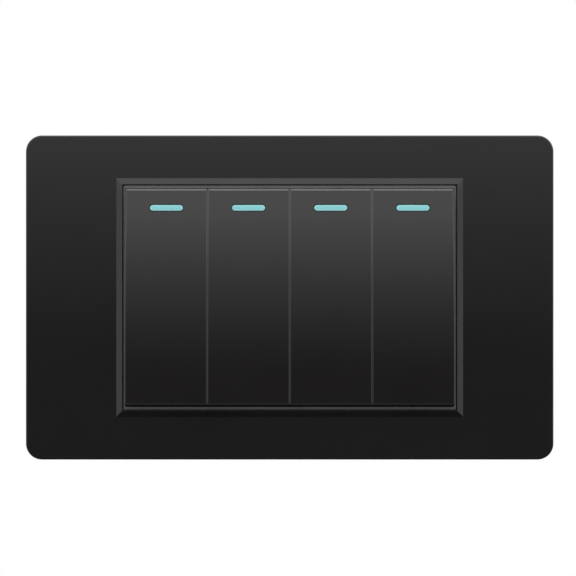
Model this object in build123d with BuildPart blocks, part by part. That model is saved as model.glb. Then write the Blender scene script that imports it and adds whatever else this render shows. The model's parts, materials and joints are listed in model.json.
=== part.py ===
from build123d import *
from math import cos, radians, sin, sqrt
import os

# Four-gang wall switch with a glass panel, in millimetres.
# The origin is the panel's centre on the wall: +X right, +Z up, +Y into the wall.
# Depths are distances out from the wall, towards the viewer along -Y; those in the wall are negative.

# Glass panel and the carrier bonded behind it
panel_width = 118.0
panel_height = 72.5
panel_corner_radius = 3.6
glass_thickness = 3.2
glass_edge_chamfer = 0.25
carrier_inset = 0.8
carrier_depth = 6.0
carrier_skirt_wall = 1.6
carrier_plate_thickness = 1.4
carrier_rib_width = 1.2
carrier_rib_offset = 7.5
carrier_rib_inset = 6.0
pry_notch_width = 10.0
pry_notch_depth = 1.6
tab_width = 7.6
tab_thickness = 1.2
tab_spacing = 34.0
tab_nose = 0.8
tab_nose_land = 0.3
tab_tip = 0.6
tab_flex_space = 1.55
tab_clearance = 0.1

# Yoke
yoke_thickness = 1.2
yoke_wall_clearance = 0.3
yoke_corner_radius = 3.0
lip_end_inset = 5.0
bend_relief = 0.2
yoke_bend_radius = 0.6
yoke_end_clearance = 3.6
yoke_window_clearance = 0.3
lip_rise = 2.0
lip_window_front_margin = 0.6
lip_window_height = 1.1
slot_length = 8.0
slot_width = 4.4

# Keys: each rocks either way from level, and at rest its upper end is in
gang_count = 4
key_width = 18.2
key_length = 48.15
key_gap = 0.1
key_wall = 1.3
key_face_thickness = 1.6
key_face_rise = 5.2
key_crown_radius = 350.0
key_end_bevel = 0.5
key_end_bevel_depth = 0.15
key_side_bevel = 0.25
key_side_bevel_depth = 0.12
key_tilt = 3.0
key_proud = 1.9
key_side_clearance = 0.1
key_end_clearance = 0.25
key_stop_clearance = 0.2
key_rib_thickness = 1.2
key_rib_offset = 5.0
key_hook_width = 7.0
key_hook_thickness = 1.2
key_hook_nose = 0.6
key_hook_height = 0.8
key_clip_clearance = 0.1

# Teal bars in the keys
indicator_length = 7.36
indicator_height = 1.32
indicator_inset = 4.225
indicator_flange = 0.8
indicator_flange_thickness = 0.8
indicator_gap = 0.22

# Module frame and bezel
rim_side_width = 0.4
rim_end_width = 0.65
rim_height = 1.3
rim_setback = 0.2
rim_corner_radius = 0.4
rim_edge_radius = 0.08
deck_thickness = 2.0
ledge_depth = 3.0
module_fit = 0.15
bezel_gap = 0.2
bezel_slope = 1.5
bezel_edge = 0.25
bezel_rise = 1.1
bezel_land = 0.12
bezel_lip = 0.6
bezel_lap = 0.35
bezel_fit = 0.05
bezel_skirt_wall = 0.7
bezel_skirt_depth = 3.9
bezel_corner_radius = 0.9
bezel_leg_width = 5.0
bezel_leg_spacing = 25.0
bezel_leg_length = 2.2
bezel_hook = 0.6
bezel_hook_clearance = 0.1

# Levers, springs and plungers
lever_width = 9.6
lever_length = 18.0
lever_thickness = 1.4
lever_rise = 0.8
hub_radius = 2.2
trunnion_radius = 1.4
trunnion_clearance = 0.1
trunnion_end_clearance = 0.2
post_clearance = 0.4
post_thickness = 1.6
post_length = 7.0
post_cap = 0.6
post_slot_width = 2.5
barrel_radius = 3.0
barrel_reach = 9.5
barrel_clearance = 0.6
bore_radius = 2.1
bore_cap = 0.4
plunger_radius = 2.0
plunger_guide = 5.0
plunger_shoulder = 2.2
plunger_gap = 0.1
nose_radius = 1.5
nose_dome_radius = 2.2
spring_wire = 0.5
spring_side_clearance = 0.25
spring_end_clearance = 0.05
spring_turns = 4

# Contacts
blade_axis_depth = 9.0
blade_tilt = 7.0
blade_width = 5.2
blade_thickness = 0.8
blade_corner_radius = 1.2
lug_radius = 0.5
lug_clearance = 0.1
lug_end_clearance = 0.2
fork_clearance = 0.2
fork_thickness = 0.8
fork_length = 3.2
fork_rise = 1.0
contact_reach = 9.0
contact_radius = 1.5
contact_height = 0.6
contact_edge = 0.2
contact_closed_gap = 0.1
fixed_contact_radius = 1.6
fixed_contact_height = 0.8
rest_pad_length = 2.0
rest_pad_width = 3.0
rest_pad_gap = 0.15
strip_thickness = 1.0
strip_end_clearance = 0.2
common_strip_tail = 2.4
load_strip_start = 6.2

# Housing, terminals and screws
chamber_width = 9.2
chamber_length = 41.2
housing_wall = 1.4
housing_floor = 2.0
housing_corner_radius = 1.5
core_width = 6.0
core_length = 36.0
core_floor = 2.0
rear_recess_height = 24.0
rear_core_width = 7.6
rear_core_length = 6.4
rear_core_depth = 4.6
terminal_inset = 3.1
terminal_ledge = 0.7
terminal_pocket_length = 8.2
terminal_recess = 1.2
terminal_screw_radius = 1.75
terminal_head_radius = 3.1
terminal_head_height = 2.0
terminal_screw_rise = 2.4
terminal_hole_clearance = 0.05
wire_space = 1.8
clamp_thickness = 1.0
clamp_length = 6.8
clamp_lip = 0.7
clamp_lip_height = 0.6
clamp_side_clearance = 0.3
clamp_hole_clearance = 0.2
leg_clearance = 0.8
leg_length = 4.0
leg_end_clearance = 0.1
leg_side_clearance = 0.2
driver_slot_width = 0.9
driver_slot_depth = 0.9
mounting_screw_land = 4.25
mounting_screw_radius = 1.75
mounting_screw_length = 22.0
mounting_neck_radius = 1.5
mounting_neck_length = 0.3
mounting_head_radius = 3.5
mounting_head_height = 2.2
assembly_screw_inset = 1.5
assembly_screw_drop = 2.0
assembly_screw_radius = 1.1
assembly_screw_clearance = 0.1
assembly_head_radius = 2.0
assembly_head_height = 1.4
assembly_boss_length = 5.2
assembly_boss_cap = 0.7
ear_thickness = 3.0
ear_end = 2.5
ear_length = 5.6

# Widths and heights that follow from the keys outwards
gang_pitch = key_width + key_gap
gang_centres = [(n - (gang_count - 1) / 2) * gang_pitch for n in range(gang_count)]
well_width = gang_count * gang_pitch - key_gap + 2 * key_side_clearance
well_height = key_length + 2 * key_end_clearance
rim_outer_width = well_width + 2 * rim_side_width
rim_outer_height = well_height + 2 * rim_end_width
bezel_opening_width = rim_outer_width + 2 * bezel_gap
bezel_opening_height = rim_outer_height + 2 * bezel_gap
bezel_width = bezel_opening_width + 2 * bezel_slope
bezel_height = bezel_opening_height + 2 * bezel_slope
window_width = bezel_width - 2 * bezel_lap
window_height = bezel_height - 2 * bezel_lap
window_corner_radius = bezel_corner_radius + bezel_fit
skirt_width = window_width - 2 * bezel_fit
skirt_height = window_height - 2 * bezel_fit
skirt_inner_width = skirt_width - 2 * bezel_skirt_wall
skirt_inner_height = skirt_height - 2 * bezel_skirt_wall
module_width = skirt_inner_width - 2 * module_fit
module_height = skirt_inner_height - 2 * module_fit
carrier_width = panel_width - 2 * carrier_inset
carrier_height = panel_height - 2 * carrier_inset
carrier_corner_radius = panel_corner_radius - carrier_inset
carrier_inner_width = carrier_width - 2 * carrier_skirt_wall
carrier_inner_height = carrier_height - 2 * carrier_skirt_wall
yoke_width = carrier_inner_width - 2 * yoke_end_clearance
tab_inner = carrier_inner_height / 2 - tab_flex_space - tab_thickness
yoke_height = 2 * (tab_inner - tab_clearance)
housing_width = (gang_count - 1) * gang_pitch + chamber_width + 2 * housing_wall
housing_height = chamber_length + 2 * housing_wall
yoke_window_width = housing_width + 2 * yoke_window_clearance
yoke_window_height = housing_height + 2 * yoke_window_clearance
mounting_screw_x = module_width / 2 + mounting_screw_land
assembly_screw_x = module_width / 2 - assembly_screw_inset
assembly_screw_z = housing_height / 2 - assembly_screw_drop
terminal_z = chamber_length / 2 - terminal_inset
terminal_pocket_width = chamber_width - 2 * terminal_ledge
post_inner = lever_width / 2 + post_clearance
fork_inner = blade_width / 2 + fork_clearance
fork_outer = fork_inner + fork_thickness

# Depths, from the wall outwards
yoke_back = yoke_wall_clearance
yoke_front = yoke_back + yoke_thickness
deck_front = yoke_front + deck_thickness
lip_front = yoke_front + lip_rise
plate_back = carrier_depth - carrier_plate_thickness
glass_front = carrier_depth + glass_thickness
bezel_front = glass_front + bezel_rise
rim_front = bezel_front - rim_setback
rim_back = rim_front - rim_height
pivot_out = bezel_front + key_proud - key_face_rise
ledge_front = pivot_out - key_length / 2 * sin(radians(key_tilt)) - key_stop_clearance
post_front = pivot_out + trunnion_radius + trunnion_clearance + post_cap

# Depths, from the wall inwards: the closed contact sets where the strips and the floor lie
blade_axis_out = -blade_axis_depth
contact_dome_radius = (contact_radius**2 + (contact_height - contact_edge) ** 2) / (
    2 * (contact_height - contact_edge)
)
dome_centre_rise = contact_dome_radius - blade_thickness / 2 - contact_height
closed_dome_out = (
    blade_axis_out
    - contact_reach * sin(radians(blade_tilt))
    + dome_centre_rise * cos(radians(blade_tilt))
)
fixed_contact_front = closed_dome_out - contact_dome_radius - contact_closed_gap
strip_front = fixed_contact_front - fixed_contact_height
chamber_floor = strip_front - strip_thickness
floor_back = chamber_floor - housing_floor
clamp_front = chamber_floor - wire_space
clamp_back = clamp_front - clamp_thickness
terminal_head_back = clamp_back - terminal_head_height
housing_back = terminal_head_back - terminal_recess

# Heights in the key's own frame, measured out from its pivot axis
lever_front = lever_rise + lever_thickness
bore_end = lever_rise - bore_cap
plunger_top = plunger_guide - barrel_reach
nose_tip = blade_axis_out + blade_thickness / 2 + plunger_gap - pivot_out
nose_base = nose_tip + nose_dome_radius - sqrt(nose_dome_radius**2 - nose_radius**2)
indicator_z = key_length / 2 - indicator_inset


def front_plane(out):
    """Plane parallel to the wall and facing the viewer, a distance out from it."""
    return Plane.XZ.offset(out)


def tilted_plane(centre_x, axis_out, tilt):
    """Plane through a pivot axis, facing the viewer, its upper end turned into the wall by the tilt."""
    normal = (0, -cos(radians(tilt)), sin(radians(tilt)))
    return Plane(origin=(centre_x, -axis_out, 0), x_dir=(1, 0, 0), z_dir=normal)


def side_view(plane):
    """Plane square to a front plane, with its x along that plane's height and its y outwards."""
    return Plane(origin=plane.origin, x_dir=plane.y_dir, z_dir=plane.x_dir)


def edge_view(centre_x, side):
    """Side view with its x from the middle towards the top edge (side 1) or the bottom edge (side -1)."""
    return Plane(origin=(centre_x, 0, 0), x_dir=(0, 0, side), z_dir=(side, 0, 0))


def key_plane(centre_x):
    return tilted_plane(centre_x, pivot_out, key_tilt)


def blade_plane(centre_x):
    return tilted_plane(centre_x, blade_axis_out, -blade_tilt)


def gang_plane(centre_x, out):
    return Plane(origin=(centre_x, -out, 0), x_dir=(1, 0, 0), z_dir=(0, -1, 0))


def crown_height(along, drop):
    """Height of the key's crowned face, or of the surface a drop under it, at a distance from its middle."""
    return key_face_rise - key_crown_radius + sqrt((key_crown_radius - drop) ** 2 - along**2)


def crowned_outline(half_length, back, drop):
    """Draws the side view of the space between a flat back and the key's crowned face."""
    end = crown_height(half_length, drop)
    Polyline((half_length, end), (half_length, back), (-half_length, back), (-half_length, end))
    ThreePointArc((-half_length, end), (0, crown_height(0, drop)), (half_length, end))


def bevelled_outline():
    """Draws the key's side view: a flat back, upright ends, a bevel at each end and the crowned face."""
    end = key_length / 2
    face_end = end - key_end_bevel
    face_height = crown_height(face_end, 0)
    bevel_height = face_height - key_end_bevel_depth
    Polyline(
        (face_end, face_height),
        (end, bevel_height),
        (end, 0),
        (-end, 0),
        (-end, bevel_height),
        (-face_end, face_height),
    )
    ThreePointArc((-face_end, face_height), (0, crown_height(0, 0)), (face_end, face_height))


def write(piece, name):
    piece.part.label = name
    export_step(piece.part, f"parts/{name}.step")


os.makedirs("parts", exist_ok=True)

# Glass panel: a plate with a window, its front edge ground to a fine chamfer
with BuildPart() as glass_panel:
    with BuildSketch(front_plane(carrier_depth)):
        RectangleRounded(panel_width, panel_height, panel_corner_radius)
        RectangleRounded(window_width, window_height, window_corner_radius, mode=Mode.SUBTRACT)
    extrude(amount=glass_thickness)
    chamfer(glass_panel.faces().sort_by(Axis.Y)[0].outer_wire().edges(), glass_edge_chamfer)
write(glass_panel, "glass_panel")

# Panel carrier: a tray whose skirt stands on the wall, with snap tabs for the yoke's lips
with BuildPart() as panel_carrier:
    with BuildSketch(front_plane(0)):
        RectangleRounded(carrier_width, carrier_height, carrier_corner_radius)
    extrude(amount=carrier_depth)
    with BuildSketch(front_plane(0)):
        RectangleRounded(
            carrier_inner_width,
            carrier_inner_height,
            max(carrier_corner_radius - carrier_skirt_wall, carrier_skirt_wall / 4),
        )
    extrude(amount=plate_back, mode=Mode.SUBTRACT)
    with BuildSketch(front_plane(plate_back)):
        RectangleRounded(window_width, window_height, window_corner_radius)
    extrude(amount=carrier_plate_thickness, mode=Mode.SUBTRACT)
    with BuildSketch(front_plane(lip_front)):
        with Locations(
            (mounting_screw_x + carrier_rib_offset, 0),
            (-mounting_screw_x - carrier_rib_offset, 0),
        ):
            Rectangle(carrier_rib_width, carrier_inner_height - 2 * carrier_rib_inset)
    extrude(amount=carrier_depth - carrier_plate_thickness / 2 - lip_front)
    with BuildSketch(front_plane(0)):
        with Locations((0, -carrier_height / 2)):
            Rectangle(pry_notch_width, 4 * carrier_skirt_wall)
    extrude(amount=pry_notch_depth, mode=Mode.SUBTRACT)
    nose_front = lip_front - lip_window_front_margin - tab_clearance
    nose_back = nose_front - lip_window_height + 2 * tab_clearance
    for side in (1, -1):
        for tab_x in (-tab_spacing, 0, tab_spacing):
            with BuildSketch(edge_view(tab_x, side)):
                with BuildLine():
                    Polyline(
                        (tab_inner, plate_back + carrier_plate_thickness / 2),
                        (tab_inner, nose_front),
                        (tab_inner - tab_clearance - tab_nose, nose_front),
                        (tab_inner - tab_clearance - tab_nose, nose_front - tab_nose_land),
                        (tab_inner, nose_back),
                        (tab_inner, nose_back - tab_tip),
                        (tab_inner + tab_thickness, nose_back - tab_tip),
                        (tab_inner + tab_thickness, plate_back + carrier_plate_thickness / 2),
                        close=True,
                    )
                make_face()
            extrude(amount=tab_width / 2, both=True)
write(panel_carrier, "panel_carrier")

# Window bezel: a mitred slope round the keys, with a skirt through the glass and six snap legs
with BuildPart() as window_bezel:
    with BuildSketch(front_plane(glass_front)):
        Rectangle(bezel_width, bezel_height)
    extrude(amount=bezel_edge)
    with BuildSketch(front_plane(glass_front + bezel_edge)):
        Rectangle(bezel_width, bezel_height)
    with BuildSketch(front_plane(bezel_front)):
        Rectangle(bezel_opening_width + 2 * bezel_land, bezel_opening_height + 2 * bezel_land)
    loft()
    skirt_back = glass_front - bezel_skirt_depth
    with BuildSketch(front_plane(skirt_back)):
        RectangleRounded(skirt_width, skirt_height, bezel_corner_radius)
    extrude(amount=bezel_skirt_depth)
    with BuildSketch(front_plane(skirt_back)):
        Rectangle(skirt_inner_width, skirt_inner_height)
    extrude(amount=bezel_front - bezel_lip - skirt_back, mode=Mode.SUBTRACT)
    with BuildSketch(front_plane(skirt_back)):
        Rectangle(bezel_opening_width, bezel_opening_height)
    extrude(amount=bezel_front - skirt_back, mode=Mode.SUBTRACT)
    bezel_leg_inner = skirt_inner_height / 2
    hook_front = plate_back - bezel_hook_clearance
    hook_reach = window_height / 2 + bezel_hook
    leg_back = plate_back - bezel_leg_length
    for side in (1, -1):
        for leg_x in (-bezel_leg_spacing, 0, bezel_leg_spacing):
            with BuildSketch(edge_view(leg_x, side)):
                with BuildLine():
                    Polyline(
                        (bezel_leg_inner, skirt_back + bezel_skirt_wall),
                        (bezel_leg_inner, leg_back),
                        (skirt_height / 2, leg_back),
                        (hook_reach, hook_front - bezel_hook),
                        (hook_reach, hook_front),
                        (skirt_height / 2, hook_front),
                        (skirt_height / 2, skirt_back + bezel_skirt_wall),
                        close=True,
                    )
                make_face()
            extrude(amount=bezel_leg_width / 2, both=True)
write(window_bezel, "window_bezel")

# Mounting yoke: folded sheet with a window for the housing, screw slots and windows in its lips
with BuildPart() as mounting_yoke:
    with BuildSketch(edge_view(0, 1)):
        with Locations((0, (yoke_back + lip_front) / 2)):
            Rectangle(yoke_height, lip_front - yoke_back)
        with Locations((0, (yoke_front + lip_front) / 2)):
            Rectangle(yoke_height - 2 * yoke_thickness, lip_rise, mode=Mode.SUBTRACT)
    extrude(amount=yoke_width / 2, both=True)
    bends = mounting_yoke.edges().filter_by(Axis.X)
    outer_bends = bends.group_by(Axis.Y)[-1]
    inner_bends = bends.group_by(Axis.Y)[-2]
    fillet(outer_bends, yoke_bend_radius + yoke_thickness)
    fillet(inner_bends, yoke_bend_radius)
    relief_height = yoke_thickness + yoke_bend_radius + bend_relief
    with BuildSketch(front_plane(yoke_back)):
        with GridLocations(yoke_width - lip_end_inset, yoke_height - relief_height, 2, 2):
            Rectangle(lip_end_inset, relief_height)
    extrude(amount=lip_front - yoke_back, mode=Mode.SUBTRACT)
    plate_corners = mounting_yoke.edges().filter_by(Axis.Y).group_by(Axis.X)
    fillet(plate_corners[0] + plate_corners[-1], yoke_corner_radius)
    with BuildSketch(front_plane(yoke_back)):
        Rectangle(yoke_window_width, yoke_window_height)
        with Locations((mounting_screw_x, 0), (-mounting_screw_x, 0)):
            SlotOverall(slot_length, slot_width)
        with GridLocations(2 * assembly_screw_x, 2 * assembly_screw_z, 2, 2):
            Circle(assembly_screw_radius + assembly_screw_clearance)
    extrude(amount=yoke_thickness, mode=Mode.SUBTRACT)
    lip_window_y = lip_window_height / 2 - (lip_front - lip_window_front_margin)
    for side in (1, -1):
        with BuildSketch(Plane.XY.offset(side * yoke_height / 2)):
            with Locations(*[(tab_x, lip_window_y) for tab_x in (-tab_spacing, 0, tab_spacing)]):
                Rectangle(tab_width + 4 * tab_clearance, lip_window_height)
        extrude(amount=-side * yoke_thickness, mode=Mode.SUBTRACT)
write(mounting_yoke, "mounting_yoke")

# Module frame: a tray with a thin rim, key stops, bearing posts and legs that hold the terminals down
with BuildPart() as module_frame:
    with BuildSketch(front_plane(yoke_front)):
        RectangleRounded(module_width, module_height, rim_corner_radius)
    extrude(amount=rim_back - yoke_front)
    with BuildSketch(front_plane(rim_back)):
        RectangleRounded(rim_outer_width, rim_outer_height, rim_corner_radius)
    extrude(amount=rim_height)
    with BuildSketch(front_plane(deck_front)):
        Rectangle(well_width, well_height)
    extrude(amount=rim_front - deck_front, mode=Mode.SUBTRACT)
    fillet(module_frame.edges().group_by(Axis.Y)[0], rim_edge_radius)
    with BuildSketch(front_plane(deck_front)):
        for side in (1, -1):
            with Locations((0, side * (well_height - ledge_depth) / 2)):
                Rectangle(well_width, ledge_depth)
        boss_width = well_width / 2 - assembly_screw_x + assembly_boss_length / 2
        for side in (1, -1):
            with Locations(*[(side * (well_width - boss_width) / 2, s * assembly_screw_z) for s in (1, -1)]):
                Rectangle(boss_width, assembly_boss_length)
    extrude(amount=ledge_front - deck_front)
    with BuildSketch(front_plane(yoke_front)):
        with GridLocations(2 * assembly_screw_x, 2 * assembly_screw_z, 2, 2):
            Circle(assembly_screw_radius + assembly_screw_clearance)
    extrude(amount=ledge_front - assembly_boss_cap - yoke_front, mode=Mode.SUBTRACT)
    barrel_swing = (pivot_out - yoke_front) * sin(radians(key_tilt)) + barrel_clearance
    with BuildSketch(front_plane(yoke_front)):
        with Locations(*[(x, 0) for x in gang_centres]):
            Rectangle(2 * post_inner, 2 * (barrel_radius + barrel_swing))
    extrude(amount=deck_thickness, mode=Mode.SUBTRACT)
    for centre_x in gang_centres:
        for side in (1, -1):
            post_plane = side_view(gang_plane(centre_x + side * (post_inner + post_thickness / 2), 0))
            with BuildSketch(post_plane):
                with Locations((0, (yoke_front + post_front) / 2)):
                    Rectangle(post_length, post_front - yoke_front)
                with Locations((0, pivot_out)):
                    Circle(trunnion_radius + trunnion_clearance, mode=Mode.SUBTRACT)
                with Locations((0, pivot_out + post_front / 2)):
                    Rectangle(post_slot_width, post_front, mode=Mode.SUBTRACT)
            extrude(amount=post_thickness / 2, both=True)
    leg_inner = terminal_screw_radius + leg_clearance
    leg_outer = chamber_width / 2 - leg_side_clearance
    leg_end = strip_front + leg_end_clearance
    with BuildSketch(front_plane(leg_end)):
        for side in (1, -1):
            leg_offset = side * (leg_inner + leg_outer) / 2
            with Locations(*[(x + leg_offset, z) for x in gang_centres for z in (terminal_z, -terminal_z)]):
                Rectangle(leg_outer - leg_inner, leg_length)
    extrude(amount=yoke_front + deck_thickness / 2 - leg_end)
write(module_frame, "module_frame")

# Rear housing: a chamber for each gang, terminal pockets open to the rear and ears behind the yoke
with BuildPart() as rear_housing:
    with BuildSketch(front_plane(housing_back)):
        RectangleRounded(housing_width, housing_height, housing_corner_radius)
    extrude(amount=yoke_front - housing_back)
    with BuildSketch(front_plane(yoke_back - ear_thickness)):
        ear_root = housing_width / 2 - housing_wall
        ear_width = assembly_screw_x + ear_end - ear_root
        for side in (1, -1):
            with Locations(*[(side * (ear_root + ear_width / 2), s * assembly_screw_z) for s in (1, -1)]):
                Rectangle(ear_width, ear_length)
        with GridLocations(2 * assembly_screw_x, 2 * assembly_screw_z, 2, 2):
            Circle(assembly_screw_radius + assembly_screw_clearance, mode=Mode.SUBTRACT)
    extrude(amount=ear_thickness)
    with BuildSketch(front_plane(chamber_floor)):
        with Locations(*[(x, 0) for x in gang_centres]):
            Rectangle(chamber_width, chamber_length)
    extrude(amount=yoke_front - chamber_floor, mode=Mode.SUBTRACT)
    with BuildSketch(front_plane(chamber_floor + core_floor)):
        with Locations(*[(x + gang_pitch / 2, 0) for x in gang_centres[:-1]]):
            Rectangle(core_width, core_length)
    extrude(amount=yoke_front - chamber_floor - core_floor, mode=Mode.SUBTRACT)
    with BuildSketch(front_plane(housing_back)):
        Rectangle(housing_width, rear_recess_height)
    extrude(amount=floor_back - housing_back, mode=Mode.SUBTRACT)
    with BuildSketch(front_plane(housing_back)):
        pocket_z = housing_height / 2 - terminal_pocket_length / 2
        for side in (1, -1):
            with Locations(*[(x, side * pocket_z) for x in gang_centres]):
                Rectangle(terminal_pocket_width, terminal_pocket_length)
    extrude(amount=chamber_floor - housing_back, mode=Mode.SUBTRACT)
    with BuildSketch(front_plane(housing_back)):
        core_z = (rear_recess_height + housing_height) / 4
        for side in (1, -1):
            with Locations(*[(x + gang_pitch / 2, side * core_z) for x in gang_centres[:-1]]):
                Rectangle(rear_core_width, rear_core_length)
    extrude(amount=rear_core_depth, mode=Mode.SUBTRACT)
write(rear_housing, "rear_housing")

# Wall box screws: a slotted pan head, a thinner neck through the yoke's slot and the threaded length
with BuildPart() as mounting_screws:
    screw_places = [(mounting_screw_x, 0), (-mounting_screw_x, 0)]
    with BuildSketch(front_plane(yoke_front)):
        with Locations(*screw_places):
            Circle(mounting_head_radius)
    extrude(amount=mounting_head_height)
    with BuildSketch(front_plane(-mounting_neck_length)):
        with Locations(*screw_places):
            Circle(mounting_neck_radius)
    extrude(amount=yoke_front + mounting_neck_length)
    with BuildSketch(front_plane(-mounting_screw_length)):
        with Locations(*screw_places):
            Circle(mounting_screw_radius)
    extrude(amount=mounting_screw_length - mounting_neck_length)
    with BuildSketch(front_plane(yoke_front + mounting_head_height)):
        with Locations(*screw_places):
            Rectangle(driver_slot_width, 2 * mounting_head_radius)
    extrude(amount=-driver_slot_depth, mode=Mode.SUBTRACT)
write(mounting_screws, "mounting_screws")

# Assembly screws: from behind, through the housing's ears and the yoke into the module frame's bosses
with BuildPart() as assembly_screws:
    assembly_head_front = yoke_back - ear_thickness
    with BuildSketch(front_plane(assembly_head_front - assembly_head_height)):
        with GridLocations(2 * assembly_screw_x, 2 * assembly_screw_z, 2, 2):
            Circle(assembly_head_radius)
    extrude(amount=assembly_head_height)
    with BuildSketch(front_plane(assembly_head_front)):
        with GridLocations(2 * assembly_screw_x, 2 * assembly_screw_z, 2, 2):
            Circle(assembly_screw_radius)
    extrude(amount=ledge_front - 2 * assembly_boss_cap - assembly_head_front)
    with BuildSketch(front_plane(assembly_head_front - assembly_head_height)):
        with GridLocations(2 * assembly_screw_x, 2 * assembly_screw_z, 2, 2):
            Rectangle(driver_slot_width, 2 * assembly_head_radius)
    extrude(amount=driver_slot_depth, mode=Mode.SUBTRACT)
write(assembly_screws, "assembly_screws")

terminal_places = [(x, z) for x in gang_centres for z in (terminal_z, -terminal_z)]

# Terminal screws: slotted heads to the rear, threaded up into the strips
with BuildPart() as terminal_screws:
    with BuildSketch(front_plane(terminal_head_back)):
        with Locations(*terminal_places):
            Circle(terminal_head_radius)
            Rectangle(driver_slot_width, 2 * terminal_head_radius, mode=Mode.SUBTRACT)
    extrude(amount=driver_slot_depth)
    with BuildSketch(front_plane(terminal_head_back + driver_slot_depth)):
        with Locations(*terminal_places):
            Circle(terminal_head_radius)
    extrude(amount=terminal_head_height - driver_slot_depth)
    with BuildSketch(front_plane(clamp_back)):
        with Locations(*terminal_places):
            Circle(terminal_screw_radius)
    extrude(amount=strip_front + terminal_screw_rise - clamp_back)
write(terminal_screws, "terminal_screws")

# Wire clamps: saddles between the screw heads and the strips, with lips that keep the wire in
with BuildPart() as wire_clamps:
    clamp_width = terminal_pocket_width - 2 * clamp_side_clearance
    with BuildSketch(front_plane(clamp_back)):
        with Locations(*terminal_places):
            Rectangle(clamp_width, clamp_length)
            Circle(terminal_screw_radius + clamp_hole_clearance, mode=Mode.SUBTRACT)
    extrude(amount=clamp_thickness)
    with BuildSketch(front_plane(clamp_front)):
        for side in (1, -1):
            lip_offset = side * (clamp_width - clamp_lip) / 2
            with Locations(*[(x + lip_offset, z) for x, z in terminal_places]):
                Rectangle(clamp_lip, clamp_length)
    extrude(amount=clamp_lip_height)
write(wire_clamps, "wire_clamps")

# Fixed contacts: silver discs on the load strips
with BuildPart() as fixed_contacts:
    with BuildSketch(front_plane(strip_front)):
        with Locations(*[(x, -contact_reach) for x in gang_centres]):
            Circle(fixed_contact_radius)
    extrude(amount=fixed_contact_height)
write(fixed_contacts, "fixed_contacts")


def build_key(centre_x):
    """Rocker key: a crowned shell with ribs that sit on the lever and hooks that hold it."""
    plane = key_plane(centre_x)
    side = side_view(plane)
    with BuildPart() as key:
        with BuildSketch(side):
            with BuildLine():
                bevelled_outline()
            make_face()
        extrude(amount=key_width / 2, both=True)
        for flank_index in (0, -1):
            flank = key.faces().sort_by(Axis.X)[flank_index]
            face_edge = flank.edges().filter_by(GeomType.CIRCLE)
            chamfer(face_edge, key_side_bevel_depth, key_side_bevel, reference=flank)
        with BuildSketch(side):
            with BuildLine():
                crowned_outline(key_length / 2 - key_wall, 0, key_face_thickness)
            make_face()
        extrude(amount=key_width / 2 - key_wall, both=True, mode=Mode.SUBTRACT)
        with BuildSketch(plane.offset(lever_front)):
            with GridLocations(0, 2 * key_rib_offset, 1, 2):
                Rectangle(key_hook_width, key_rib_thickness)
        extrude(amount=key_face_rise - key_face_thickness / 2 - lever_front)
        hook_inner = lever_length / 2 + key_clip_clearance
        hook_front = lever_rise - key_clip_clearance
        for end in (1, -1):
            with BuildSketch(side):
                with BuildLine():
                    Polyline(
                        (end * hook_inner, key_face_rise - key_face_thickness / 2),
                        (end * hook_inner, hook_front),
                        (end * (hook_inner - key_clip_clearance - key_hook_nose), hook_front),
                        (end * hook_inner, hook_front - key_hook_height),
                        (end * (hook_inner + key_hook_thickness), hook_front - key_hook_height),
                        (end * (hook_inner + key_hook_thickness), key_face_rise - key_face_thickness / 2),
                        close=True,
                    )
                make_face()
            extrude(amount=key_hook_width / 2, both=True)
        with BuildSketch(plane):
            with Locations((0, indicator_z)):
                SlotOverall(indicator_length + 2 * indicator_gap, indicator_height + 2 * indicator_gap)
        extrude(amount=key_face_rise, mode=Mode.SUBTRACT)
    return key


def build_indicator(centre_x):
    """Teal bar: flush with the key's crowned face and flanged behind it."""
    plane = key_plane(centre_x)
    flange_front = crown_height(indicator_z + indicator_height / 2 + indicator_flange, key_face_thickness)
    flange_back = flange_front - indicator_flange_thickness
    with BuildPart() as indicator:
        with BuildSketch(plane.offset(flange_back)):
            with Locations((0, indicator_z)):
                SlotOverall(indicator_length, indicator_height)
        extrude(amount=key_face_rise - flange_back)
        with BuildSketch(side_view(plane)):
            with BuildLine():
                crowned_outline(key_length / 2, 0, 0)
            make_face()
        extrude(amount=indicator_length, both=True, mode=Mode.INTERSECT)
        with BuildSketch(plane.offset(flange_back)):
            with Locations((0, indicator_z)):
                Rectangle(indicator_length + 2 * indicator_flange, indicator_height + 2 * indicator_flange)
        extrude(amount=indicator_flange_thickness)
    return indicator


def build_lever(centre_x):
    """Lever: a plate under the key, a hub with two trunnions and a barrel for the spring and plunger."""
    plane = key_plane(centre_x)
    side = side_view(plane)
    with BuildPart() as lever:
        with BuildSketch(plane.offset(lever_rise)):
            Rectangle(lever_width, lever_length)
        extrude(amount=lever_thickness)
        with BuildSketch(side):
            Circle(hub_radius)
        extrude(amount=lever_width / 2, both=True)
        with BuildSketch(side):
            Circle(trunnion_radius)
        extrude(amount=post_inner + post_thickness - trunnion_end_clearance, both=True)
        with BuildSketch(plane.offset(-barrel_reach)):
            Circle(barrel_radius)
        extrude(amount=barrel_reach + lever_rise)
        with BuildSketch(plane.offset(-barrel_reach)):
            Circle(bore_radius)
        extrude(amount=barrel_reach + bore_end, mode=Mode.SUBTRACT)
    return lever


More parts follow.
